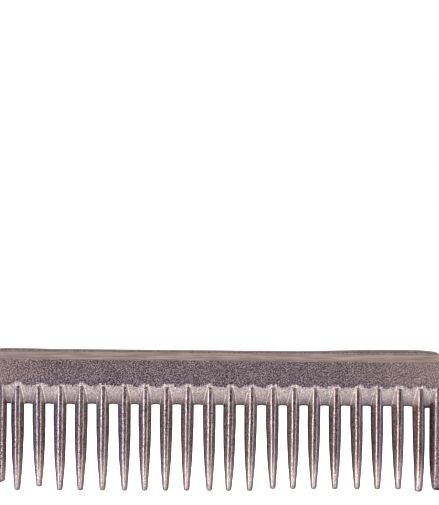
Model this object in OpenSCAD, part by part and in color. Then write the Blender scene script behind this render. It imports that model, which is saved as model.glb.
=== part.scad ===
// Metal grooming comb: a bevelled spine bar, a row of set teeth and a wide guard tooth at each end.
// X runs along the comb, Y through its thickness and +Z up. The teeth point down.
// The origin is on the mid-plane, midway along the comb, level with the tips of the teeth.

/* [Overall] */
// Length of the comb, end to end
comb_len = 101.6; // [96:0.2:108]
// Height from the tips to the top of the spine bar
comb_height = 31; // [29:0.5:34]
// Radius of the two top corners
corner_r = 3; // [2:0.5:6]

/* [Spine bar] */
// Thickness of the bar between its two flat faces
bar_thick = 3.8; // [3.4:0.1:5]
// Height of the flat face
face_height = 5.6; // [5:0.1:6]
// Height of the ground bevel above the face
bevel_height = 1.7; // [1.2:0.1:2]
// How far the bevel leans in at its top
bevel_depth = 0.55; // [0.3:0.05:0.8]
// Height of the rounded crown above the bevel
crown_height = 0.5; // [0.3:0.05:0.8]
// Thickness left at the lower edge of the web
web_edge_thick = 0.6; // [0.4:0.1:1]
// Width of the chamfer down the two ends of the comb
end_chamfer = 0.9; // [0.5:0.1:1]

/* [Teeth] */
// Number of teeth between the two guards
tooth_count = 20; // [18:1:21]
// Height of the gap between two teeth, from the tips to the web
gap_height = 19; // [17:0.5:20]
// Width of a tooth where it leaves the web
tooth_w = 2.8; // [2.4:0.1:3]
// Width of a tooth at its tip
tooth_tip_w = 1.05; // [0.8:0.05:1.4]
// Thickness of a tooth where it leaves the web
tooth_thick = 3.2; // [2.6:0.1:3.2]
// Thickness of a tooth at its tip
tooth_tip_thick = 1.2; // [0.8:0.1:1.6]
// Width of the narrow ridge down each face of a tooth
ridge_w = 0.8; // [0.6:0.1:1]
// The one tooth that is clearly shorter than the rest
short_tooth = 2; // [1:1:12]
// How much shorter that tooth is
short_tooth_trim = 0.8; // [0:0.1:1.5]
// First tooth of the stretch with slightly worn tips
worn_first = 13; // [12:1:15]
// Last tooth of that stretch
worn_last = 19; // [15:1:21]
// How much shorter the worn teeth are
worn_trim = 0.45; // [0:0.05:1]

/* [End guards] */
// Distance from the end tooth's centre line to the end of the comb
end_reach = 6.15; // [6:0.05:6.6]
// Distance from the end tooth's centre line to the guard's inner edge
guard_gap = 2.35; // [2.2:0.05:2.5]
// Width of the sloping flank on the guard's inner side
guard_flank = 1.1; // [0.8:0.1:1.2]
// Thickness of a guard at its tip
guard_tip_thick = 2.2; // [1.4:0.1:3]
// How far the guard's inner edge draws in at the tip
guard_inner_taper = 0.8; // [0.4:0.1:1]
// How far the guard's outer edge draws in at the tip
guard_outer_taper = 0.9; // [0.4:0.1:1.2]
// How much shorter than the teeth the left guard is
left_guard_trim = 0.9; // [0:0.1:1.5]

/* [Seats] */
// Clearance on each side of a seated tooth or guard
seat_play = 0.015; // [0.01:0.005:0.03]
// Width of a tang, the plain shank hidden in the bar
tang_w = 1.6; // [1.2:0.1:1.8]
// Thickness of a tang
tang_thick = 1.4; // [1:0.1:1.8]
// How far a tooth's tang reaches up into the bar
tooth_tang_reach = 4; // [3:0.5:4.5]
// How far a guard's tang reaches up into the bar
guard_tang_reach = 2.4; // [1.6:0.2:2.6]

/* [Hidden] */
tooth_names = [for (i = [1:tooth_count]) str("tooth_", i < 10 ? "0" : "", i)];

bar_colour = "#7d6d70";
guard_colour = "#877476";
tooth_colour = "#9a8886";

half_len = comb_len / 2;
half_bar = bar_thick / 2;
half_web_edge = web_edge_thick / 2;
half_ridge = ridge_w / 2;
pitch = (comb_len - 2 * end_reach) / (tooth_count - 1);

// Levels up the bar
crown_base_z = comb_height - crown_height;
face_top_z = crown_base_z - bevel_height;
face_bottom_z = face_top_z - face_height;
corner_z = comb_height - corner_r;
crown_half = half_bar - bevel_depth;

// A tooth's ridge stops a little below the level where the sloping web grows thicker than the tooth
web_share = (tooth_thick - web_edge_thick) / (bar_thick - web_edge_thick);
ridge_proud = 0.1;
tooth_seat_z = gap_height + (face_bottom_z - gap_height) * web_share - ridge_proud;

// Lines along the right-hand guard, measured out from the middle of the comb
guard_inner_x = half_len - end_reach + guard_gap;
guard_ridge_x = guard_inner_x + guard_flank;
guard_tang_x = guard_ridge_x + tang_w / 2;

// Shape of the tapers: a larger power keeps the full size further down
width_power = 2.6;
thick_power = 3.5;
guard_power = 5;

// Rounded tips: their height, and the share of that height cut off flat at the very end
tip_round = 0.45;
tip_flat = 0.003;

// Levels of the sections that make up a tooth or guard, close together at the tip
blade_steps = 10;
blade_bunching = 1.5;
tip_levels = [for (share = [0, 0.15, 0.45]) share * tip_round];
blade_levels = [for (k = [0:blade_steps])
    tip_round + (gap_height - tip_round) * pow(k / blade_steps, blade_bunching)];

corner_facets = 64;
crown_steps = 8;
cut_margin = 2;
tang_overlap = 0.5;
tang_end_room = 0.2;

// Share of the growth from tip size to root size that is reached at height z
function growth(z, power) = 1 - pow(1 - min(z, gap_height) / gap_height, power);

// Size at height z that goes from tip_size to root_size
function taper(z, tip_size, root_size, power) = tip_size + (root_size - tip_size) * growth(z, power);

// Share of a section that is left inside the rounded tip
function tip_share(z) = z >= tip_round ? 1 : sqrt(1 - pow((1 - tip_flat) * (1 - z / tip_round), 2));

// Level of a section once a tooth has been shortened by trim
function trimmed(z, trim) = z + trim * (1 - min(z, gap_height) / gap_height);

function tooth_x(i) = (i - (tooth_count + 1) / 2) * pitch;
function tooth_trim(i) =
    i == short_tooth ? short_tooth_trim :
    i >= worn_first && i <= worn_last ? worn_trim : 0;

// Six-sided section of a tooth: a narrow ridge on each face and a sharp edge on each side
function tooth_section(half_w, half_t, half_r) = [
    [-half_r, -half_t], [half_r, -half_t], [half_w, 0], [half_r, half_t], [-half_r, half_t], [-half_w, 0]
];

function tooth_ring(z, trim) =
    let (share = tip_share(z),
        half_w = share * taper(z, tooth_tip_w, tooth_w, width_power) / 2,
        half_t = share * taper(z, tooth_tip_thick, tooth_thick, thick_power) / 2,
        half_r = share * min(half_ridge, 0.8 * taper(z, tooth_tip_w, tooth_w, width_power) / 2))
    [for (p = tooth_section(half_w, half_t, half_r)) [p[0], p[1], trimmed(z, trim)]];

// Section of the right-hand guard: flat faces, a flank on the inner side and chamfers on the outer side
function guard_section(inner, ridge, outer, half_t) =
    let (edge_half = half_t * (1 - end_chamfer / bar_thick)) [
        [ridge, -half_t], [outer - end_chamfer, -half_t], [outer, -edge_half],
        [outer, edge_half], [outer - end_chamfer, half_t], [ridge, half_t], [inner, 0]
    ];

function guard_ring(z, trim) =
    let (share = tip_share(z),
        inner = guard_inner_x + guard_inner_taper * (1 - growth(z, width_power)),
        outer = half_len - guard_outer_taper * (1 - growth(z, guard_power)),
        half_t = share * taper(z, guard_tip_thick, bar_thick, guard_power) / 2,
        middle = (guard_ridge_x + outer - end_chamfer) / 2)
    [for (p = guard_section(inner, guard_ridge_x, outer, half_t))
        [middle + share * (p[0] - middle), p[1], trimmed(z, trim)]];

// Joins a stack of level rings, each with the same number of points, into one closed solid
module skin(rings) {
    n = len(rings[0]);
    top = len(rings) - 1;
    sides = [for (r = [0:top - 1], k = [0:n - 1]) let (next = (k + 1) % n)
        each [
            [r * n + k, (r + 1) * n + k, r * n + next],
            [r * n + next, (r + 1) * n + k, (r + 1) * n + next]
        ]];
    bottom_cap = [for (k = [0:n - 1]) k];
    top_cap = [for (k = [n - 1:-1:0]) top * n + k];
    polyhedron([for (ring = rings) each ring], concat([bottom_cap], sides, [top_cap]), convexity = 4);
}

// Plain shank that holds a tooth or guard in the bar, or with some play the hole it sits in
module shank(seat_z, reach, play) {
    translate([-tang_w / 2 - play, -tang_thick / 2 - play, seat_z - tang_overlap])
        cube([tang_w + 2 * play, tang_thick + 2 * play, tang_overlap + reach]);
}

// One tooth, standing at X = 0
module tooth(trim) {
    color(tooth_colour) {
        skin([for (z = concat(tip_levels, blade_levels, [tooth_seat_z])) tooth_ring(z, trim)]);
        shank(tooth_seat_z, tooth_tang_reach, 0);
    }
}

// The right-hand guard tooth; the left one is its mirror image
module guard(trim) {
    color(guard_colour) {
        skin([for (z = concat(tip_levels, blade_levels, [face_bottom_z])) guard_ring(z, trim)]);
        translate([guard_tang_x, 0, 0])
            shank(face_bottom_z, guard_tang_reach, 0);
    }
}

module end_guard_left() {
    mirror([1, 0, 0])
        guard(left_guard_trim);
}

module end_guard_right() {
    guard(0);
}

// Side view of the bar: sloping web, flat faces, bevels and a rounded crown
module bar_profile() {
    crown = [for (k = [0:crown_steps]) let (a = 180 * k / crown_steps)
        [crown_half * cos(a), crown_base_z + crown_height * sin(a)]];
    polygon(concat(
        [[-half_bar, face_bottom_z], [-half_web_edge, gap_height], [half_web_edge, gap_height]],
        [[half_bar, face_bottom_z], [half_bar, face_top_z]],
        crown,
        [[-half_bar, face_top_z]]
    ));
}

// Chamfered edge of the plate, from a corner's centre out to the outline
module edge_profile() {
    edge_half = half_bar * (1 - end_chamfer / bar_thick);
    polygon([
        [0, -half_bar], [corner_r - end_chamfer, -half_bar], [corner_r, -edge_half],
        [corner_r, edge_half], [corner_r - end_chamfer, half_bar], [0, half_bar]
    ]);
}

// Front outline of the bar with its two rounded corners and chamfered ends
module bar_plate() {
    straight = half_len - corner_r;
    translate([-straight, -half_bar, gap_height])
        cube([2 * straight, bar_thick, comb_height - gap_height]);
    for (side = [0, 1])
        mirror([side, 0, 0])
            translate([straight, 0, 0]) {
                translate([0, 0, gap_height])
                    linear_extrude(corner_z - gap_height)
                        edge_profile();
                translate([0, 0, corner_z])
                    rotate([90, 0, 0])
                        rotate_extrude(angle = 90, $fn = corner_facets)
                            edge_profile();
            }
}

// Six-sided slot and square hole that hold one tooth
module tooth_seat() {
    translate([0, 0, gap_height - cut_margin])
        linear_extrude(tooth_seat_z + seat_play - gap_height + cut_margin)
            polygon(tooth_section(tooth_w / 2 + seat_play, tooth_thick / 2 + seat_play, half_ridge + seat_play));
    shank(tooth_seat_z, tooth_tang_reach + tang_end_room, seat_play);
}

// Room for the right-hand guard below the bar, and the hole for its tang
module guard_seat() {
    inner = guard_inner_x - seat_play;
    ridge = guard_ridge_x - seat_play;
    side = half_bar + cut_margin;
    far = half_len + cut_margin;
    translate([0, 0, gap_height - cut_margin])
        linear_extrude(face_bottom_z + seat_play - gap_height + cut_margin)
            polygon([
                [inner, 0], [ridge, -half_bar], [ridge, -side], [far, -side],
                [far, side], [ridge, side], [ridge, half_bar]
            ]);
    translate([guard_tang_x, 0, 0])
        shank(face_bottom_z, guard_tang_reach + tang_end_room, seat_play);
}

module spine_bar() {
    color(bar_colour)
        difference() {
            intersection() {
                translate([-half_len, 0, 0])
                    rotate([90, 0, 90])
                        linear_extrude(comb_len)
                            bar_profile();
                bar_plate();
            }
            for (i = [1:tooth_count])
                translate([tooth_x(i), 0, 0])
                    tooth_seat();
            for (side = [0, 1])
                mirror([side, 0, 0])
                    guard_seat();
        }
}

spine_bar();
end_guard_left();
end_guard_right();
for (i = [1:tooth_count])
    translate([tooth_x(i), 0, 0])
            tooth(tooth_trim(i));
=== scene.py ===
import math

import bpy
import numpy as np
from mathutils import Matrix, Vector


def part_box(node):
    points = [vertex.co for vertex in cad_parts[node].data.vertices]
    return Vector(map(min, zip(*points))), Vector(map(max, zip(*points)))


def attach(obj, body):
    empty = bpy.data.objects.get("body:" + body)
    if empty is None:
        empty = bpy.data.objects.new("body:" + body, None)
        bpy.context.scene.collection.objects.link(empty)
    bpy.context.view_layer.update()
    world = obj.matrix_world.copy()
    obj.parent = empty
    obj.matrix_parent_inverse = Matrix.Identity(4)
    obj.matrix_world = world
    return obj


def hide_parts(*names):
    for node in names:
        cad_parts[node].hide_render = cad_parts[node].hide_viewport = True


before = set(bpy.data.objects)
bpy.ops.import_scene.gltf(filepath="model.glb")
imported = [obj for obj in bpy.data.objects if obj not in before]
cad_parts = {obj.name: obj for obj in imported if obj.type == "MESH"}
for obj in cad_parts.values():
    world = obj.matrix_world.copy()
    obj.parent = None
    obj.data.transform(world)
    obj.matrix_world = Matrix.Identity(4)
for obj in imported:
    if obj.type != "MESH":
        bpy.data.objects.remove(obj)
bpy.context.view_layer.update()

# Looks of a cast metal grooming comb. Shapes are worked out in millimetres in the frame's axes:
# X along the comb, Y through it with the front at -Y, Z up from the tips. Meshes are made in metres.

MM = 0.001


# ---------------------------------------------------------------- sizes read from the frame

def cad_box(node):
    """Lowest and highest corner of a CAD node, in millimetres."""
    low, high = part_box(node)
    return np.array(low) / MM, np.array(high) / MM


TOOTH_NODES = sorted(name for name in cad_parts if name.startswith("tooth_"))
GUARD_NODES = {"left": "end_guard_left", "right": "end_guard_right"}

bar_low, bar_high = cad_box("spine_bar")
HALF_LEN = bar_high[0]
HALF_BAR = bar_high[1]
WEB_Z = bar_low[2]
TOP_Z = bar_high[2]

tooth_boxes = np.array([cad_box(name) for name in TOOTH_NODES])
first_low, first_high = tooth_boxes[0]
EXTRA_HALF_W = 0.05
TOOTH_HALF_W = (first_high[0] - first_low[0]) / 2 + EXTRA_HALF_W
TOOTH_HALF_T = first_high[1]
TOOTH_X = (tooth_boxes[:, 0, 0] + tooth_boxes[:, 1, 0]) / 2
TOOTH_TIP_Z = tooth_boxes[:, 0, 2]
PITCH = TOOTH_X[1] - TOOTH_X[0]
GUARD_INNER_X = cad_box(GUARD_NODES["right"])[0][0]

# ---------------------------------------------------------------- detail sizes, millimetres

# Levels and edges of the bar
BEVEL_TOP_Z = TOP_Z - 0.5
BEVEL_BOTTOM_Z = BEVEL_TOP_Z - 1.7
FACE_BOTTOM_Z = BEVEL_BOTTOM_Z - 5.6
CROWN_HALF = HALF_BAR - 0.55
CORNER_R = 3.0
WEB_HALF = 0.3
WEB_CURVE = 1.5
WEB_NOSE = 0.24
SCALLOP_RISE = 0.55
SCALLOP_UNEVEN = 0.45
RAGGED = 0.2
BEVEL_WANDER = 0.04
END_CHAMFER = 0.9
END_CHAMFER_DROP = 0.35
END_NOSE = 0.32
GAP_ARCH = 0.12
LAST_GAP_DROP = 0.35

# Rounding of the creases between the bar's surfaces
FACE_CREASE = 0.14
BEVEL_CREASE = 0.07
END_CREASE = 0.1
END_LIFT = 0.02

# Height the crown was left above the bar: all along it, at the left end and towards the right end
CROWN_RISE = 0.12
CROWN_RISE_LEFT = 0.1
CROWN_RISE_RIGHT = 0.47
CROWN_FALL_RIGHT = 0.45

# Teeth
RIDGE_HALF = 0.42
RIDGE_TIP_HALF = 0.26
RIDGE_ROUND = 0.14
RIDGE_TIP_ROUND = 0.6
SILHOUETTE_R = 0.1
TIP_HALF_W = 0.59
TIP_HALF_T = 0.6
TIP_ROUND = 0.42
TIP_CREST_X = -0.2
WIDTH_POWER = 2.8
THICK_POWER = 3.5
WEAR_POWER = 1.3
HEAD_Z = FACE_BOTTOM_Z - 0.25
HEAD_ROUND = 0.5
HEAD_THINNING = 0.12
LAST_TIP_HOOK = -0.2
LAST_TIP_EXTRA = 0.25
HOOK_POWER = 6

# Guards; their flanks, tapers and tips differ a little from end to end
GUARD_INSET = {"left": -0.22, "right": 0.05}
GUARD_FLANK = {"left": 1.12, "right": 1.2}
GUARD_INNER_TAPER = {"left": 0.2, "right": 0.9}
GUARD_TIP_RISE = {"left": 0.8, "right": 0.3}
GUARD_OUTER_TAPER = 0.9
GUARD_POWER = 5
GUARD_TIP_HALF_T = 1.1
GUARD_TIP_ROUND = 0.9
GUARD_TIP_SHARE = 0.25
GUARD_CREASE = 0.2

# Gaps between pieces, and the least thickness and share of width left at a tip
SEAT_GAP = 0.02
JOINT_GAP = 0.02
SEAT_DEPTH = 2
THIN_EDGE = 0.004
BLUNT_TIP = 0.01

# Uneven standing of the teeth: size of the faults, and how far along the comb they keep together
STAND_FAULT = 0.10
LEAN_FAULT = 0.22
RIDGE_FAULT = 0.08
FAULT_REACH = 3.1

# Seeds of the repeatable noise
FACE_SEEDS = (101, 201)
CROWN_SEED = 11
ARCH_SEED = 31
STAND_SEED = 5324
LEAN_SEED = 6040
RIDGE_SEED = 6956
TOOTH_SEED = 1000
TOOTH_SEED_STEP = 20


# ---------------------------------------------------------------- small numeric helpers

def hashed(ix, iy, seed):
    """A repeatable number from -1 to 1 for each whole-number grid point."""
    mask = 0xFFFFFFFF
    h = (ix.astype(np.int64) * 374761393 + iy.astype(np.int64) * 668265263 + seed * 362437) & mask
    h = ((h ^ (h >> 13)) * 1274126177) & mask
    return ((h ^ (h >> 16)) & 0xFFFFFF) / 0x7FFFFF - 1


def noise(x, y, size, seed):
    """Smooth noise from -1 to 1 with lumps about size across."""
    u, v = np.broadcast_arrays(np.asarray(x, float) / size, np.asarray(y, float) / size)
    iu, iv = np.floor(u), np.floor(v)
    fu, fv = u - iu, v - iv
    fu, fv = fu * fu * (3 - 2 * fu), fv * fv * (3 - 2 * fv)
    low = hashed(iu, iv, seed) * (1 - fu) + hashed(iu + 1, iv, seed) * fu
    high = hashed(iu, iv + 1, seed) * (1 - fu) + hashed(iu + 1, iv + 1, seed) * fu
    return low * (1 - fv) + high * fv


def ripple(x, size, seed):
    """Smooth noise from -1 to 1 along one direction."""
    return noise(x, 0 * x, size, seed)


def soft_min(a, b, reach):
    """The smaller of two surfaces, with the crease between them rounded over about reach."""
    h = np.clip(0.5 + 0.5 * (b - a) / reach, 0, 1)
    return b * (1 - h) + a * h - reach * h * (1 - h)


def rounded(distance, reach):
    """Quarter-round profile that goes from 0 at an edge to 1 at reach."""
    return np.sqrt(1 - (1 - np.clip(distance / reach, 0, 1)) ** 2)


def smooth_step(value, start, end):
    """Rises smoothly from 0 at start to 1 at end."""
    t = np.clip((value - start) / (end - start), 0, 1)
    return t * t * (3 - 2 * t)


def fade(value, start, end):
    """Falls smoothly from 1 at start to 0 at end."""
    return 1 - smooth_step(value, start, end)


def band(value, middle, width):
    """Bell curve that is 1 at middle and fades out over about width."""
    return np.exp(-((value - middle) / width) ** 2)


def bunched(start, end, count, toward_start=True):
    """Levels from start to end that crowd together at one end, as on a quarter round."""
    t = np.linspace(0, 1, count)
    share = 1 - np.cos(t * math.pi / 2) if toward_start else np.sin(t * math.pi / 2)
    return start + (end - start) * share


# ---------------------------------------------------------------- how the teeth stand

def faults(size, seed):
    """A small casting fault for each tooth, up to about size either way."""
    return size * ripple(TOOTH_X, FAULT_REACH, seed)


# X of the teeth, which crowd inwards at the left end
STAND_X = TOOTH_X + 0.16 * np.clip((-36 - TOOTH_X) / 10, 0, 1) + faults(STAND_FAULT, STAND_SEED)

# How far each tip stands to the right of its root, more near the right end
LEAN = 0.17 + 0.16 * smooth_step(TOOTH_X, 24, 36) + faults(LEAN_FAULT, LEAN_SEED)

# How far each ridge stands to the right of its tooth's middle, more towards the ends
OUTWARD_SHIFT = 0.04 + 0.12 * TOOTH_X / HALF_LEN
RIDGE_SHIFT = OUTWARD_SHIFT + 0.1 * smooth_step(TOOTH_X, 32, 40) + faults(RIDGE_FAULT, RIDGE_SEED)


def to_nearest_tooth(x):
    """Distance along X to the centre line of the nearest tooth."""
    return np.abs(x[..., None] - STAND_X).min(-1)


# ---------------------------------------------------------------- meshes

def new_object(name, vertices, faces):
    """Object from vertices in millimetres and a list of faces."""
    mesh = bpy.data.meshes.new(name)
    mesh.from_pydata((np.asarray(vertices) * MM).tolist(), [], faces)
    mesh.validate()
    made = bpy.data.objects.new(name, mesh)
    bpy.context.scene.collection.objects.link(made)
    return made


def sheet(name, x, z, front, rear):
    """Closed piece from grids of X and Z, with its half thickness towards the front and the rear."""
    rows, cols = x.shape
    count = rows * cols
    front_points = np.stack([x, -front, z], -1).reshape(-1, 3)
    rear_points = np.stack([x, rear, z], -1).reshape(-1, 3)
    index = np.arange(count).reshape(rows, cols)
    corners = [index[:-1, :-1], index[:-1, 1:], index[1:, 1:], index[1:, :-1]]
    quads = np.stack(corners, -1).reshape(-1, 4)
    loop = np.concatenate([index[0, :-1], index[:-1, -1], index[-1, :0:-1], index[:0:-1, 0]])
    after = np.roll(loop, -1)
    rim = np.stack([loop, loop + count, after + count, after], -1)
    faces = np.concatenate([quads, quads[:, ::-1] + count, rim])
    return new_object(name, np.concatenate([front_points, rear_points]), faces.tolist())


def prism(points, low, high):
    """Vertices and faces of an upright prism on an outline of (x, y) points, anticlockwise from above."""
    n = len(points)
    vertices = [(px, py, pz) for pz in (low, high) for px, py in points]
    sides = [(k, (k + 1) % n, (k + 1) % n + n, k + n) for k in range(n)]
    return vertices, [tuple(range(n - 1, -1, -1)), tuple(range(n, 2 * n))] + sides


def cut(target, solids):
    """Cuts the given prisms out of target and applies the result."""
    vertices, faces = [], []
    for points, corners in solids:
        faces += [tuple(k + len(vertices) for k in face) for face in corners]
        vertices += points
    cutter = new_object("cutter", vertices, faces)
    modifier = target.modifiers.new("cut", "BOOLEAN")
    modifier.operation = "DIFFERENCE"
    modifier.solver = "MANIFOLD"
    modifier.object = cutter
    evaluated = target.evaluated_get(bpy.context.evaluated_depsgraph_get())
    target.data = bpy.data.meshes.new_from_object(evaluated)
    target.modifiers.clear()
    bpy.data.objects.remove(cutter)


def points_of(piece):
    """The piece's vertices in millimetres, as three arrays."""
    flat = np.empty(len(piece.data.vertices) * 3)
    piece.data.vertices.foreach_get("co", flat)
    return flat.reshape(-1, 3).T / MM


def paint(piece, masks):
    """Stores named masks, one value from 0 to 1 for each vertex, for the material to read."""
    for name, values in masks.items():
        layer = piece.data.attributes.new(name, "FLOAT", "POINT")
        layer.data.foreach_set("value", np.clip(values, 0, 1).astype(np.float32))


def on_both_sides(masks, grid):
    """Masks given over a sheet's grid, repeated for the vertices of its front and its rear."""
    return {name: np.tile((values + 0 * grid).ravel(), 2) for name, values in masks.items()}


def finish_piece(piece, material, node):
    """Smooth shading, material, slot and place in the frame, all in one."""
    piece.data.shade_smooth()
    piece.data.set_sharp_from_angle(angle=math.radians(50))
    piece.data.materials.clear()
    piece.data.materials.append(material)
    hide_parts(node)
    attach(piece, "root")


# ---------------------------------------------------------------- spine bar

def crown_rise(x):
    """How much higher the crown was left along the right-hand end than on the rest of the bar."""
    right = CROWN_RISE_RIGHT * smooth_step(x, 16, 38) - CROWN_FALL_RIGHT * smooth_step(x, 43.5, HALF_LEN)
    left = CROWN_RISE_LEFT * fade(x, -44, -36)
    return CROWN_RISE + left + right + 0.02 * ripple(x, 5, CROWN_SEED)


def face_edge(x, seed):
    """Ragged level where the sloping web meets the flat face: higher above each tooth."""
    beside = to_nearest_tooth(x) / PITCH
    depth = SCALLOP_RISE * (1 + SCALLOP_UNEVEN * ripple(x, 3.7, seed + 5))
    scallop = depth * np.clip(0.5 + 0.5 * np.cos(2 * math.pi * beside), 0, 1) ** 1.1
    ragged = RAGGED * (ripple(x, 0.8, seed) + 0.8 * ripple(x, 0.35, seed + 1))
    inside = fade(np.abs(x), GUARD_INNER_X, GUARD_INNER_X + GUARD_FLANK["left"])
    return FACE_BOTTOM_Z + (scallop + ragged - 0.05) * inside


def web_half(x, z, seed):
    """Half thickness of the sloping web under the face."""
    share = np.clip((z - WEB_Z) / (face_edge(x, seed) - WEB_Z), 0, 1.3)
    return WEB_HALF + (HALF_BAR - WEB_HALF) * share ** WEB_CURVE


def edge_distance(x, z):
    """Distance in from the bar's outline: two straight ends and a top joined by round corners."""
    dx = np.abs(x) - (HALF_LEN - CORNER_R)
    dz = z - (TOP_Z - CORNER_R)
    corner = np.hypot(np.maximum(dx, 0), np.maximum(dz, 0))
    return CORNER_R - corner - np.minimum(np.maximum(dx, dz), 0)


def chamfered(half, inset):
    """Half thickness with the chamfer along an end of the comb, at a distance in from that end."""
    return half - END_CHAMFER_DROP * np.clip(1 - inset / END_CHAMFER, 0, 1) + END_LIFT


def bar_half(x, level, seed):
    """Half thickness of the bar at a place on its front outline, without the cast grain."""
    bevel_start = BEVEL_BOTTOM_Z + BEVEL_WANDER * ripple(x, 7, seed + 2)
    lean = (HALF_BAR - CROWN_HALF) / (BEVEL_TOP_Z - bevel_start)
    bevel = HALF_BAR - lean * (np.minimum(level, BEVEL_TOP_Z) - bevel_start)
    crown_share = np.clip((level - BEVEL_TOP_Z) / (TOP_Z - BEVEL_TOP_Z), 0, 1)
    face = soft_min(np.full_like(x, HALF_BAR), web_half(x, level, seed), FACE_CREASE)
    body = soft_min(face, bevel, BEVEL_CREASE) * np.sqrt(1 - crown_share ** 2)
    inset = edge_distance(x, level)
    return soft_min(body, chamfered(HALF_BAR, inset), END_CREASE) * rounded(inset, END_NOSE)


def on_ground(z):
    """1 on the ground bevel and above it, 0 on the cast face."""
    return smooth_step(z, BEVEL_BOTTOM_Z - 0.1, BEVEL_BOTTOM_Z + 0.15)


def bar_grain(x, z, seed):
    """Unevenness of the cast surface: coarse on the face, soft streaks on the ground bevel."""
    cast = 0.002 * noise(x, z, 0.48, seed) + 0.006 * noise(x, z, 0.26, seed + 1)
    streaks = 0.004 * noise(x / 9, z, 0.16, seed + 2)
    swell = 0.015 * noise(x, z, 6, seed + 3)
    return cast * (1 - on_ground(z)) + streaks * on_ground(z) + swell


def with_grain(smooth, grain_depth):
    """Half thickness with the grain added, less of it where the metal is thin."""
    return smooth + grain_depth * np.clip(smooth / 0.5, 0, 1)


def bar_columns():
    """X of the mesh columns at the height of the face: even along the bar, crowded at its ends."""
    inner = HALF_LEN - END_CHAMFER - 0.3
    even = np.linspace(-inner, inner, 571)
    outer = bunched(HALF_LEN, inner, 12)[:-1]
    return np.concatenate([-outer, even, outer[::-1]])


def bar_levels():
    """Levels of the mesh rows on a straight-topped bar."""
    web_top = FACE_BOTTOM_Z + 0.9
    face_top = BEVEL_BOTTOM_Z - 0.2
    nose = bunched(WEB_Z, WEB_Z + WEB_NOSE, 6)
    web = np.linspace(WEB_Z + WEB_NOSE, web_top, 28)[1:]
    face = np.linspace(web_top, face_top, 22)[1:]
    bevel = np.linspace(face_top, BEVEL_TOP_Z, 14)[1:]
    crown = bunched(BEVEL_TOP_Z, TOP_Z, 10, toward_start=False)[1:]
    return np.concatenate([nose, web, face, bevel, crown])


def gap_arch(x):
    """How far the web's lower edge is arched up between two teeth."""
    half_gap = PITCH / 2 - TOOTH_HALF_W
    beside = np.clip((PITCH / 2 - to_nearest_tooth(x)) / half_gap, 0, 1)
    last_gap = LAST_GAP_DROP * smooth_step(x, TOOTH_X[-1] - 0.5, TOOTH_X[-1] + 0.5)
    return -GAP_ARCH * beside ** 4 + 0.05 * ripple(x, 2.3, ARCH_SEED) - last_gap


def bar_outline(column, level):
    """X of the mesh points, with the columns near each end pulled in along the round corner."""
    shoulder = HALF_LEN - CORNER_R
    drop = np.maximum(level - (TOP_Z - CORNER_R), 0)
    reach = shoulder + np.sqrt(CORNER_R ** 2 - drop ** 2)
    pull_from = shoulder - 3
    outside = np.maximum(np.abs(column) - pull_from, 0) / (HALF_LEN - pull_from)
    return np.sign(column) * (np.minimum(np.abs(column), pull_from) + outside * (reach - pull_from))


def spine_bar(material):
    """The bar with its crown, bevel, cast faces and sloping web, and seats for the teeth and guards."""
    column, level = np.meshgrid(bar_columns(), bar_levels())
    x = bar_outline(column, level)
    above_bevel = np.clip((level - BEVEL_TOP_Z) / (TOP_Z - BEVEL_TOP_Z), 0, 1)
    z = level + crown_rise(x) * above_bevel + gap_arch(x) * fade(level, WEB_Z, WEB_Z + 1.2)
    nose = rounded(level - WEB_Z, WEB_NOSE)
    halves = []
    for seed in FACE_SEEDS:
        half = with_grain(bar_half(x, level, seed) * nose, bar_grain(x, z, seed))
        halves.append(np.maximum(half, THIN_EDGE))
    piece = sheet("cast_spine_bar", x, z, *halves)
    seats = [tooth_seat(number) for number in range(len(STAND_X))]
    cut(piece, seats + [guard_seat(side) for side in GUARD_NODES])
    paint(piece, bar_masks(*points_of(piece)))
    finish_piece(piece, material, "spine_bar")


def end_wear(x):
    """How far the dark skin is rubbed off towards the two ends of the comb."""
    return smooth_step(x, 26, HALF_LEN) + smooth_step(-x, 36, HALF_LEN + 1)


def bar_masks(x, y, z):
    """Where the bar gets a painted highlight, is smooth, ground, painted in shade or worn, and where it is
    tinted.
    """
    edge = face_edge(x, FACE_SEEDS[0])
    beside = to_nearest_tooth(x)
    depth = np.clip(np.abs(y), 0, TOOTH_HALF_T)
    flare = TOOTH_HALF_W - (TOOTH_HALF_W - RIDGE_HALF) * depth / TOOTH_HALF_T
    on_web = fade(z, edge - 0.45, edge + 0.35)
    # Painted highlight along the lines where each tooth flares into the web.
    line = band(beside - flare, 0.07, 0.12) * on_web
    share = (z - WEB_Z) / (edge - WEB_Z)
    low_edge = fade(z, WEB_Z, WEB_Z + 0.55)
    crown = smooth_step(z, BEVEL_TOP_Z - 0.05, BEVEL_TOP_Z + 0.12)
    under_face = band(z - edge, 0.3, 0.35)
    # Painted shade, darker towards the bottom of the web and along its lower edge.
    shade = 0.7 * fade(share, 0, 0.7) + 0.4 * low_edge
    return {
        "bright": line * (1 - 0.5 * low_edge),
        "web": on_web,
        "ground": on_ground(z) * (1 - 0.5 * crown),
        # Painted shade: a little on the crown, in a band on the face just above the web, and over the web.
        "painted_shade": 0.06 * crown + 0.3 * under_face + on_web * shade * (1 - 0.8 * line),
        "worn_ends": end_wear(x),
        "frost": 0.5 * on_web * smooth_step(share, 0.45, 0.8) * (1 - line),
        # Warm tint with the painted shade along the web's lower edge; cool tint with the painted shade just
        # above the web.
        "brown": on_web * low_edge,
        "blue": 0.5 * under_face,
    }


# ---------------------------------------------------------------- teeth

def growth(z, power):
    """Share of the growth from tip size to root size that is reached at height z."""
    return 1 - (1 - np.clip(z / WEB_Z, 0, 1)) ** power


def grown(tip_size, root_size, z, power):
    """Size at height z of something that grows from tip_size to root_size."""
    return tip_size + (root_size - tip_size) * growth(z, power)


def sloping_flank(inset, slope):
    """Thickness of a sloping flank at a distance in from its slightly rounded edge."""
    return slope * np.sqrt(inset ** 2 + 2 * SILHOUETTE_R * inset)


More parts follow.
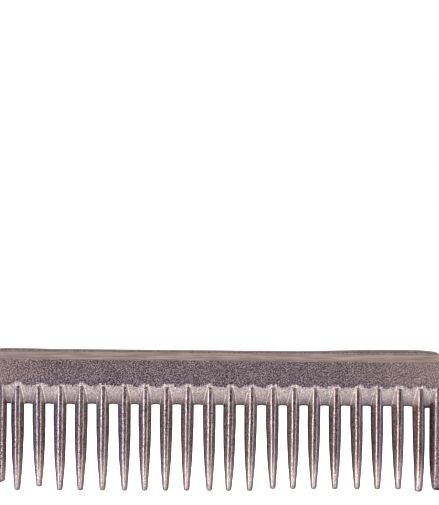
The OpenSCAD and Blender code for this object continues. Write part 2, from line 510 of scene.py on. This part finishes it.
def section_half(across, half_w, ridge, half_t, softness=RIDGE_ROUND):
    """Half thickness of a ridged tooth at a distance across from its centre line."""
    inset = np.maximum(half_w - np.abs(across), 0)
    flank = sloping_flank(inset, half_t / (half_w - ridge)) * half_w / (half_w + SILHOUETTE_R)
    return soft_min(half_t + 0 * inset, flank, softness * half_t)


def off_centre(across, half_w, shift):
    """Distance across from a ridge that stands off the centre line by shift, with the edges kept."""
    return across - shift * (1 - (across / half_w) ** 2)


def tooth_seat(number):
    """Pocket in the bar for one tooth, a hair larger than the tooth."""
    centre = STAND_X[number]
    half_across = TOOTH_HALF_W - bunched(0, TOOTH_HALF_W, 13)
    across = np.concatenate([-half_across, half_across[-2::-1]])
    shifted = off_centre(across, TOOTH_HALF_W, RIDGE_SHIFT[number])
    half = section_half(shifted, TOOTH_HALF_W, RIDGE_HALF, TOOTH_HALF_T) + SEAT_GAP
    across = across * (1 + SEAT_GAP / TOOTH_HALF_W)
    front = [(centre + a, -h) for a, h in zip(across, half)]
    rear = [(centre + a, h) for a, h in zip(across[::-1], half[::-1])]
    return prism(front + rear, WEB_Z - SEAT_DEPTH, HEAD_Z + SEAT_GAP)


def tooth_levels():
    """Heights of the mesh rows above the tip, one to a row."""
    tip = bunched(0, TIP_ROUND, 12)
    blade = np.linspace(TIP_ROUND, HEAD_Z - HEAD_ROUND, 88)[1:]
    head = bunched(HEAD_Z - HEAD_ROUND, HEAD_Z, 6, toward_start=False)[1:]
    return np.concatenate([tip, blade, head])[:, None]


def tooth_columns(ridge_share):
    """Places across a tooth from -1 to 1: even over the ridge, crowded towards the edges."""
    on_ridge = np.linspace(0, 1, 6)
    on_flank = 1 - bunched(0, 1, 14)[::-1][1:]
    half = np.concatenate([ridge_share * on_ridge, ridge_share + (1 - ridge_share) * on_flank], 1)
    return np.concatenate([-half[:, :0:-1], half], 1)


def tooth(number, node, material):
    """One tooth: two ridged faces that taper to a rounded tip, with small casting faults of its own."""
    seed = TOOTH_SEED + TOOTH_SEED_STEP * number
    rng = np.random.default_rng(seed)
    ridge_size = rng.uniform(0.85, 1.15)
    shine = rng.uniform(0.75, 1.0)
    last = number == len(TOOTH_X) - 1

    level = tooth_levels()
    swing = 1 - np.clip(level / WEB_Z, 0, 1)
    wear = swing ** WEAR_POWER
    free = fade(level, WEB_Z - 5, WEB_Z - 0.5)
    end = np.maximum(rounded(level, TIP_ROUND), BLUNT_TIP)
    head_curve = rounded(HEAD_Z - level, HEAD_ROUND)

    wobble = 1 + 0.015 * ripple(level, 2.5, seed) * free
    tip_half_w = TIP_HALF_W + (LAST_TIP_EXTRA if last else 0)
    half_w = grown(tip_half_w, TOOTH_HALF_W, level, WIDTH_POWER) * wobble
    half_t = grown(TIP_HALF_T, TOOTH_HALF_T, level, THICK_POWER)
    half_t = half_t * (1 - HEAD_THINNING * (1 - head_curve))
    ridge = (RIDGE_HALF + (RIDGE_TIP_HALF - RIDGE_HALF) * wear) * (1 + (ridge_size - 1) * free)
    ridge = ridge * (0.5 + 0.5 * head_curve)
    softness = RIDGE_ROUND + (RIDGE_TIP_ROUND - RIDGE_ROUND) * wear

    u = tooth_columns(ridge / half_w)
    across = u * half_w
    hook = (LAST_TIP_HOOK if last else 0) * swing ** HOOK_POWER
    centre_line = LEAN[number] * swing + hook + 0.03 * ripple(level, 4, seed + 1) * free
    x = STAND_X[number] + centre_line + across * end
    z = TOOTH_TIP_Z[number] * swing + level

    crest_x = RIDGE_SHIFT[number] * (1 - wear) + TIP_CREST_X * wear
    halves = []
    for side in (0, 1):
        waver = 0.03 * ripple(level, 1.6, seed + 2 + side) * free
        shifted = np.clip(off_centre(across, half_w, crest_x + waver), -half_w, half_w)
        smooth = section_half(shifted, half_w, ridge, half_t, softness)
        pits = 0.012 * noise(x, z, 0.4, seed + 4 + side) + 0.01 * noise(x, z, 0.22, seed + 6 + side)
        half = with_grain(smooth, pits * fade(level, WEB_Z - 0.5, WEB_Z + 0.5))
        halves.append(np.maximum(half * end, THIN_EDGE))
    piece = sheet("cast_" + node, x, z + 0 * x, *halves)

    from_crest = off_centre(across, half_w, crest_x)
    masks = tooth_masks(level, u, from_crest, half_w, ridge, STAND_X[number], shine)
    paint(piece, on_both_sides(masks, x))
    finish_piece(piece, material, node)


def tooth_masks(level, u, from_crest, half_w, ridge, centre, shine):
    """Where a tooth is made bright by wear and painted highlight, painted in shade, smooth or worn, with
    painted reflection tints.
    """
    ridge_edge = band(np.abs(from_crest) - ridge, 0.02, 0.11)
    crest = fade(np.abs(from_crest), ridge * 0.7, ridge)
    silhouette = smooth_step(np.abs(u), 0.74, 0.92)
    flank = (1 - silhouette) * (1 - crest)
    left_part = fade(from_crest, -0.1, 0.35)
    left_flank = fade(from_crest, -ridge - 0.3, -ridge)
    tip = fade(level, 1.5, 9.5)
    root = smooth_step(level, WEB_Z - 0.3, WEB_Z + 1.6)
    lower_half = fade(level, 2, 12)
    under_head = fade(level, HEAD_Z - 2.4, HEAD_Z - 0.4)
    right_end = smooth_step(centre, 8, 40)
    outward = np.clip(1.5 * from_crest / half_w, -1, 1) * centre / HALF_LEN

    # Ridge edges and tip made brighter, partly as wear and partly as painted highlight, painted on the left
    # side at the tip.
    ridge_wear_and_highlight = shine * ridge_edge * (0.4 + 0.6 * under_head) * (1 - 0.15 * right_end)
    tip_wear_and_highlight = tip * (0.1 + 0.3 * crest + 0.45 * ridge_edge * left_part)
    # Painted shade on the silhouettes, on the left flanks of teeth towards the right end, and along the
    # crest.
    dark_edge = (silhouette + 0.4 * right_end * left_flank) * (1 - root)
    dark_crest = crest * (0.15 + 0.45 * under_head + 0.25 * right_end)
    return {
        "bright": ridge_wear_and_highlight + tip_wear_and_highlight + 0.35 * left_part * fade(level, 0.5, 4),
        # Painted light on the flanks, more towards the tip, with the web's lighter colour at the root.
        "web": root * (1 - crest) + (0.3 + 0.5 * lower_half) * flank,
        "painted_shade": (dark_edge + dark_crest) * (1 - tip),
        "worn_ends": tip,
        "frost": 0.7 * crest * (1 - tip),
        # Painted reflection tints: warm on the flank that faces the middle of the comb, cool on the flank
        # that faces its nearer end.
        "brown": -outward * (1 - 0.7 * root),
        "blue": outward,
    }


# ---------------------------------------------------------------- end guards

def guard_seat(side):
    """Room under the end of the bar for one guard."""
    inner = GUARD_INNER_X + GUARD_INSET[side] - SEAT_GAP
    ridge = inner + GUARD_FLANK[side]
    far, deep = HALF_LEN + SEAT_DEPTH, HALF_BAR + SEAT_DEPTH
    front = [(inner, 0), (ridge, -HALF_BAR), (ridge, -deep), (far, -deep)]
    points = front + [(far, deep), (ridge, deep), (ridge, HALF_BAR)]
    if side == "left":
        points = [(-px, py) for px, py in points[::-1]]
    return prism(points, WEB_Z - SEAT_DEPTH, FACE_BOTTOM_Z)


def guard_levels():
    """Heights of the mesh rows above the tip, one to a row."""
    blade = np.linspace(GUARD_TIP_ROUND, FACE_BOTTOM_Z - JOINT_GAP, 110)[1:]
    return np.concatenate([bunched(0, GUARD_TIP_ROUND, 12), blade])[:, None]


def guard_columns(inner, ridge, outer):
    """Distances along X of the mesh points: over the inner flank, then over the flat face."""
    on_flank = np.linspace(0, 1, 10)[None, :] ** 1.4
    on_face = np.concatenate([np.linspace(0, 0.7, 14)[1:], 1 - bunched(0, 0.3, 12)[::-1][1:]])[None, :]
    return np.concatenate([inner + (ridge - inner) * on_flank, ridge + (outer - ridge) * on_face], 1)


def end_guard(side, node, material):
    """One wide guard: a flat face level with the bar's, a sloping inner flank and a rounded outer edge."""
    level = guard_levels()
    tip_z = cad_box(node)[0][2] + GUARD_TIP_RISE[side]
    z = tip_z * (1 - np.clip(level / WEB_Z, 0, 1)) + level
    end = np.maximum(rounded(level, GUARD_TIP_ROUND), BLUNT_TIP)
    root_x = GUARD_INNER_X + GUARD_INSET[side]
    inner = grown(root_x + GUARD_INNER_TAPER[side], root_x, level, GUARD_POWER)
    outer = grown(HALF_LEN - GUARD_OUTER_TAPER, HALF_LEN, level, GUARD_POWER)
    half_t = grown(GUARD_TIP_HALF_T, HALF_BAR, level, GUARD_POWER)
    ridge = root_x + GUARD_FLANK[side] + 0 * level

    flat_x = guard_columns(inner, ridge, outer)
    middle = (ridge + outer) / 2
    x = middle + (flat_x - middle) * (GUARD_TIP_SHARE + (1 - GUARD_TIP_SHARE) * end)
    flank = sloping_flank(np.maximum(flat_x - inner, 0), half_t / (ridge - inner))
    from_outer = np.maximum(outer - flat_x, 0)
    body = soft_min(half_t + 0 * x, flank, GUARD_CREASE)
    smooth = soft_min(body, chamfered(half_t, from_outer), END_CREASE) * rounded(from_outer, END_NOSE)

    direction = -1 if side == "left" else 1
    x = direction * x
    halves = []
    for seed in FACE_SEEDS:
        half = with_grain(smooth, bar_grain(x, z, seed))
        halves.append(np.maximum(half * end, THIN_EDGE))
    masks = guard_masks(side, level, x, flat_x, inner, ridge)
    grids = [x, z + 0 * x] + halves
    if side == "left":
        grids = [grid[:, ::-1] for grid in grids]
        masks = {name: (values + 0 * x)[:, ::-1] for name, values in masks.items()}
    piece = sheet("cast_" + node, *grids)
    paint(piece, on_both_sides(masks, x))
    finish_piece(piece, material, node)


# Wear and painted light of the guards: wear and painted highlight on the ridge, painted light on the flank
# and painted shade on it
GUARD_SHINE = {"left": 0.5, "right": 0.6}
GUARD_LIT = {"left": 1.1, "right": 0.3}
GUARD_DARK = {"left": 0.55, "right": 1.15}


def guard_masks(side, level, x, flat_x, inner, ridge):
    """Where a guard is bright with wear and painted highlight, smooth, painted in shade or worn, and where
    it is tinted.
    """
    ridge_edge = band(flat_x, ridge, 0.16)
    on_flank = fade(flat_x, ridge - 0.25, ridge - 0.05)
    from_edge = np.clip((flat_x - inner) / (ridge - inner), 0, 1)
    tip = fade(level, 1, 7)
    root = smooth_step(level, WEB_Z, WEB_Z + 1.6)
    # Painted shade on the inner flank and in a line along the face beside the ridge.
    dark_flank = (1 - from_edge) ** 0.7 * GUARD_DARK[side] * (1 - root)
    dark_line = 0.6 * band(flat_x, ridge + 0.45, 0.25)
    return {
        # Ridge made brighter by wear and painted highlight, and the flank lighter at the tip.
        "bright": ridge_edge * GUARD_SHINE[side] + 0.5 * tip * on_flank,
        # Painted light on the flank, stronger on the left guard, with the web's colour at the root.
        "web": on_flank * np.maximum(root, GUARD_LIT[side] * from_edge),
        "painted_shade": (dark_flank + dark_line) * (1 - tip),
        "worn_ends": end_wear(x) * (0.6 + 0.4 * root) + 0.4 * tip,
        # Warm painted reflection tint on the inner flank, and a cool tint on the right guard's face.
        "brown": on_flank * (1 - root),
        "blue": 0.35 * (x > 0) * (1 - on_flank) * (1 - root),
    }


# ---------------------------------------------------------------- shader nodes

def add_node(tree, kind, inputs=None, **settings):
    """Adds a shader node, sets its properties and fills its inputs with values or other nodes' outputs."""
    made = tree.nodes.new(kind)
    for key, value in settings.items():
        setattr(made, key, value)
    for key, value in (inputs or {}).items():
        if isinstance(value, bpy.types.NodeSocket):
            tree.links.new(value, made.inputs[key])
        else:
            made.inputs[key].default_value = value
    return made


def calc(tree, operation, *values):
    """Result of one math operation on values or outputs."""
    return add_node(tree, "ShaderNodeMath", dict(enumerate(values)), operation=operation).outputs[0]


def vector_calc(tree, operation, inputs):
    """Result of one vector math operation."""
    return add_node(tree, "ShaderNodeVectorMath", inputs, operation=operation).outputs[0]


def product(tree, first, *others):
    """All the values or outputs multiplied together."""
    for other in others:
        first = calc(tree, "MULTIPLY", first, other)
    return first


def about(tree, middle, value, share):
    """Value with its distance from middle multiplied by share."""
    distance = calc(tree, "SUBTRACT", value, middle)
    return calc(tree, "ADD", product(tree, distance, share), middle)


def blend(tree, factor, a, b):
    """Colour that goes from a to b with factor. Sockets 6, 7 and 2 are the node's colour ones."""
    return add_node(tree, "ShaderNodeMix", {0: factor, 6: a, 7: b}, data_type="RGBA").outputs[2]


def remap(tree, value, low, high, to_low=0.0, to_high=1.0, smooth=False):
    """Value moved from one range to another, and kept inside it."""
    kind = "SMOOTHSTEP" if smooth else "LINEAR"
    inputs = {0: value, 1: low, 2: high, 3: to_low, 4: to_high}
    return add_node(tree, "ShaderNodeMapRange", inputs, interpolation_type=kind).outputs[0]


def grain(tree, place, scale, detail=2.0, stretch=(1, 1, 1)):
    """Noise texture with lumps of about 1 / scale millimetres."""
    stretched = vector_calc(tree, "MULTIPLY", {0: place, 1: stretch})
    inputs = {"Vector": stretched, "Scale": scale, "Detail": detail}
    return add_node(tree, "ShaderNodeTexNoise", inputs).outputs[0]


def mask(tree, name):
    """One of the masks that paint() stored on the piece."""
    return add_node(tree, "ShaderNodeAttribute", attribute_name=name).outputs["Fac"]


def emptied_tree(owner):
    """Node tree of a material or world, switched on and emptied."""
    owner.use_nodes = True
    owner.node_tree.nodes.clear()
    return owner.node_tree


# ---------------------------------------------------------------- metal

# Colours: cast skin, worn skin, the lighter web (on teeth and guards also painted light), wear with painted
# highlights, ground bevel, painted shade, and warm and cool tints.
CAST = (0.167, 0.124, 0.140, 1)
CAST_WORN = (0.29, 0.211, 0.216, 1)
WEB = (0.49, 0.402, 0.405, 1)
GROUND = (0.41, 0.315, 0.30, 1)
BRIGHT = (0.87, 0.745, 0.765, 1)
PAINTED_SHADE_COLOUR = (0.08, 0.054, 0.056, 1)
BROWN_TINT = (1.05, 0.86, 0.74, 1)
BLUE_TINT = (0.95, 0.98, 1.3, 1)
WHITE = (1, 1, 1, 1)

# Cells of grain per millimetre. The even grain has the bar's flat faces on a whole cell of the noise,
# where its lumps are all of one size.
EVEN_GRAIN = 10 / HALF_BAR
UNEVEN_GRAIN = 6.0
FINE_GRAIN = 9.0
PATCHES = 0.4
STREAKS = 3.6
STREAK_STRETCH = (0.035, 1, 1)

GRIT = {
    # share of even grain, share of uneven grain, darkest speck, brightest speck, raggedness of the web
    "cast_metal": (0.75, 0.55, 0.0, 1.98, 1.6),
    "tooth_metal": (0.0, 1.0, 0.05, 1.95, 2.0),
}
BRIGHT_RAGGED = 1.5
BRIGHT_BORDER = (0.1, 0.9)
WEB_BORDER = (0.38, 0.75)
SPECK_SPREAD = (0.38, 0.62)
PATCH_SPREAD = (0.3, 0.7)
CLOUD_TONES = (0.94, 1.06)
STREAK_TONES = (0.76, 1.24)

BRIGHT_SMOOTHNESS = 0.6
WEB_SMOOTHNESS = 0.65
WORN_SMOOTHNESS = 0.25
ROUGHNESS = 0.47
ROUGHNESS_UNEVEN = 0.05
BRIGHT_POLISH = 0.3
GROUND_POLISH = 0.08
BUMP_BASE = 0.2
BUMP_GRAIN = 0.6
BUMP_DEPTH = 0.1
SCRATCH_STRENGTH = 0.35
SCRATCH_DEPTH = 0.05


def metal(name):
    """Cast metal: dark grainy skin, bright parts that are partly rubbed and partly painted highlight, a
    ground bevel with streaks, and painted shade.
    """
    material = bpy.data.materials.new(name)
    material.use_nodes = True
    tree = material.node_tree
    shader = tree.nodes["Principled BSDF"]
    place = add_node(tree, "ShaderNodeTexCoord").outputs["Object"]
    place = vector_calc(tree, "SCALE", {0: place, "Scale": 1 / MM})
    even_share, uneven_share, darkest, brightest, web_ragged = GRIT[name]

    even = calc(tree, "SUBTRACT", grain(tree, place, EVEN_GRAIN, 0.0), 0.5)
    uneven = calc(tree, "SUBTRACT", grain(tree, place, UNEVEN_GRAIN), 0.5)
    broken = calc(tree, "ADD", product(tree, even, even_share), product(tree, uneven, uneven_share))
    speck = calc(tree, "ADD", broken, 0.5)
    fine = grain(tree, place, FINE_GRAIN)
    patch = grain(tree, place, PATCHES, 1.0)
    streak = grain(tree, place, STREAKS, stretch=STREAK_STRETCH)

    # Masks: ground bevel, painted shade and worn ends; below, wear with painted highlights and the web's
    # colour with painted light, each given a ragged border.
    ground, painted_shade_mask, worn = mask(tree, "ground"), mask(tree, "painted_shade"), mask(tree, "worn_ends")
    bright = calc(tree, "ADD", mask(tree, "bright"), product(tree, broken, BRIGHT_RAGGED))
    bright = remap(tree, bright, *BRIGHT_BORDER)
    web = calc(tree, "ADD", mask(tree, "web"), product(tree, broken, web_ragged))
    web = remap(tree, web, *WEB_BORDER)

    smoothed = [product(tree, bright, BRIGHT_SMOOTHNESS), product(tree, web, WEB_SMOOTHNESS)]
    polished = calc(tree, "MAXIMUM", ground, calc(tree, "MAXIMUM", *smoothed))
    rough = calc(tree, "SUBTRACT", 1.0, polished)
    rough = product(tree, rough, calc(tree, "SUBTRACT", 1.0, product(tree, worn, WORN_SMOOTHNESS)))
    rough = calc(tree, "MAXIMUM", rough, mask(tree, "frost"))

    # Layers over the skin, in order: worn ends, web colour with painted light, wear with painted highlight,
    # ground bevel, painted shade.
    colour = CAST
    for amount, layer in ((worn, CAST_WORN), (web, WEB), (bright, BRIGHT), (ground, GROUND), (painted_shade_mask, PAINTED_SHADE_COLOUR)):
        colour = blend(tree, amount, colour, layer)
    speckle = about(tree, 1.0, remap(tree, speck, *SPECK_SPREAD, darkest, brightest), rough)
    cloud = remap(tree, patch, *PATCH_SPREAD, *CLOUD_TONES)
    lines = about(tree, 1.0, remap(tree, streak, *SPECK_SPREAD, *STREAK_TONES), ground)
    colour = vector_calc(tree, "SCALE", {0: colour, "Scale": product(tree, speckle, cloud, lines)})
    # Warm and cool tints: painted reflection tints on the flanks, and tints of the painted shade on the bar.
    for key, tint in (("brown", BROWN_TINT), ("blue", BLUE_TINT)):
        colour = vector_calc(tree, "MULTIPLY", {0: colour, 1: blend(tree, mask(tree, key), WHITE, tint)})

    gloss = product(tree, calc(tree, "POWER", bright, 2.0), BRIGHT_POLISH)
    gloss = calc(tree, "ADD", gloss, product(tree, ground, GROUND_POLISH))
    uneven_gloss = remap(tree, fine, *PATCH_SPREAD, -ROUGHNESS_UNEVEN, ROUGHNESS_UNEVEN)
    roughness = calc(tree, "ADD", calc(tree, "SUBTRACT", ROUGHNESS, gloss), uneven_gloss)

    bump = add_node(tree, "ShaderNodeBump", {
        "Strength": calc(tree, "ADD", BUMP_BASE, product(tree, rough, BUMP_GRAIN)),
        "Distance": BUMP_DEPTH * MM,
        "Height": calc(tree, "ADD", speck, product(tree, fine, 0.5)),
    })
    scratches = add_node(tree, "ShaderNodeBump", {
        "Strength": product(tree, ground, SCRATCH_STRENGTH),
        "Distance": SCRATCH_DEPTH * MM,
        "Height": streak,
        "Normal": bump.outputs[0],
    })
    tree.links.new(colour, shader.inputs["Base Color"])
    tree.links.new(roughness, shader.inputs["Roughness"])
    tree.links.new(scratches.outputs[0], shader.inputs["Normal"])
    shader.inputs["Metallic"].default_value = 1.0
    return material


# ---------------------------------------------------------------- stage

PANELS = [
    # azimuth, half width, elevation, half height, softness in degrees, strength
    (-50, 16, 12, 32, 12, 3.8),
    (50, 12, 12, 30, 12, 1.9),
    (0, 30, 38, 14, 12, 0.6),
    (180, 30, 12, 25, 14, 0.6),
    (180, 60, 45, 20, 20, 0.3),
    (0, 180, 90, 35, 25, 0.2),
]
AMBIENT = 0.1
LIGHT_COLOUR = (1, 0.985, 0.975, 1)

FLOOR_SIZE = 12.0
FLOOR_GREY = (0.4, 0.4, 0.4, 1)
FLOOR_ROUGHNESS = 0.25
FLOOR_WHITE = 1.0
FLOOR_GLOW = 0.04

# Bands of the floor that light the comb from below, as Y in metres where each starts and is full
FRONT_GLOW = 0.85
FRONT_GLOW_FAR = (-0.140, -0.045)
FRONT_GLOW_NEAR = (-0.007, -0.001)
REAR_GLOW = 1.0
REAR_GLOW_NEAR = (0.015, 0.030)
REAR_GLOW_FAR = (0.150, 0.250)


def panel_light(tree, azimuth, elevation, panel):
    """Strength of one soft light panel in each direction of the sky."""
    centre, half_width, height, half_height, soft, strength = panel
    turn = calc(tree, "WRAP", calc(tree, "SUBTRACT", azimuth, centre), 180.0, -180.0)
    side = remap(tree, calc(tree, "ABSOLUTE", turn), half_width + soft, half_width, smooth=True)
    away = calc(tree, "ABSOLUTE", calc(tree, "SUBTRACT", elevation, height))
    rise = remap(tree, away, half_height + soft, half_height, smooth=True)
    return product(tree, side, rise, strength)


def sky():
    """Studio round the comb: soft panels of light that only the comb and the floor see, and white behind."""
    world = bpy.data.worlds.new("studio")
    bpy.context.scene.world = world
    tree = emptied_tree(world)
    direction = add_node(tree, "ShaderNodeTexCoord").outputs["Generated"]
    parts = add_node(tree, "ShaderNodeSeparateXYZ", {0: direction}).outputs
    degrees = 180 / math.pi
    towards_front = product(tree, parts["Y"], -1.0)
    azimuth = product(tree, calc(tree, "ARCTAN2", parts["X"], towards_front), degrees)
    elevation = product(tree, calc(tree, "ARCSINE", parts["Z"]), degrees)
    light = AMBIENT
    for panel in PANELS:
        light = calc(tree, "ADD", light, panel_light(tree, azimuth, elevation, panel))
    lit = add_node(tree, "ShaderNodeBackground", {"Color": LIGHT_COLOUR, "Strength": light}).outputs[0]
    plain = add_node(tree, "ShaderNodeBackground", {"Color": WHITE, "Strength": 1.0}).outputs[0]
    seen = add_node(tree, "ShaderNodeLightPath").outputs["Is Camera Ray"]
    mixed = add_node(tree, "ShaderNodeMixShader", {0: seen, 1: lit, 2: plain}).outputs[0]
    add_node(tree, "ShaderNodeOutputWorld", {0: mixed})


def floor():
    """Plain pale floor at the level of the tips."""
    half = FLOOR_SIZE / 2 / MM
    corners = [(-half, -half, 0), (half, -half, 0), (half, half, 0), (-half, half, 0)]
    piece = new_object("floor", corners, [(0, 1, 2, 3)])
    material = bpy.data.materials.new("pale_floor")
    tree = emptied_tree(material)
    place = add_node(tree, "ShaderNodeTexCoord").outputs["Object"]
    depth = add_node(tree, "ShaderNodeSeparateXYZ", {0: place}).outputs["Y"]
    front_near = remap(tree, depth, *FRONT_GLOW_NEAR, 1.0, 0.0, smooth=True)
    front_far = remap(tree, depth, *FRONT_GLOW_FAR, smooth=True)
    rear_near = remap(tree, depth, *REAR_GLOW_NEAR, smooth=True)
    rear_far = remap(tree, depth, *REAR_GLOW_FAR, 1.0, 0.0, smooth=True)
    front = product(tree, front_near, front_far, FRONT_GLOW)
    rear = product(tree, rear_near, rear_far, REAR_GLOW)
    glow = calc(tree, "ADD", FLOOR_GLOW, calc(tree, "ADD", front, rear))
    seen = add_node(tree, "ShaderNodeLightPath").outputs["Is Camera Ray"]
    strength = calc(tree, "ADD", glow, product(tree, seen, FLOOR_WHITE))
    shine = add_node(tree, "ShaderNodeEmission", {"Color": WHITE, "Strength": strength}).outputs[0]
    finish = {"Base Color": FLOOR_GREY, "Roughness": FLOOR_ROUGHNESS}
    surface = add_node(tree, "ShaderNodeBsdfPrincipled", finish).outputs[0]
    total = add_node(tree, "ShaderNodeAddShader", {0: surface, 1: shine}).outputs[0]
    add_node(tree, "ShaderNodeOutputMaterial", {0: total})
    piece.data.materials.append(material)


CAMERA_DISTANCE = 609.0
CAMERA_AZIMUTH = math.radians(-6.28)
CAMERA_TARGET_X = -0.445
CAMERA_Z = 52.7
CAMERA_ROLL = math.radians(0.76)
CAMERA_LENS = 196.5
CAMERA_CLIP = (0.01, 100)


def camera():
    """Long lens, level, a little to the left of straight ahead, with the comb low in the picture."""
    data = bpy.data.cameras.new("camera")
    data.lens = CAMERA_LENS
    data.clip_start, data.clip_end = CAMERA_CLIP
    made = bpy.data.objects.new("camera", data)
    bpy.context.scene.collection.objects.link(made)
    turn = Matrix.Rotation(CAMERA_AZIMUTH, 4, "Z")
    back = turn @ Vector((0, -CAMERA_DISTANCE, 0))
    place = Vector((CAMERA_TARGET_X, 0, CAMERA_Z)) + back
    upright = Matrix.Rotation(math.radians(90), 4, "X") @ Matrix.Rotation(CAMERA_ROLL, 4, "Z")
    made.matrix_world = Matrix.Translation(place * MM) @ turn @ upright
    bpy.context.scene.camera = made


# ---------------------------------------------------------------- the scene

def build():
    """Makes every visible piece, the light, the floor and the camera."""
    cast, blade = metal("cast_metal"), metal("tooth_metal")
    spine_bar(cast)
    for number, node in enumerate(TOOTH_NODES):
        tooth(number, node, blade)
    for side, node in GUARD_NODES.items():
        end_guard(side, node, cast)
    sky()
    floor()
    camera()
    bpy.context.scene.view_settings.view_transform = "Standard"


build()
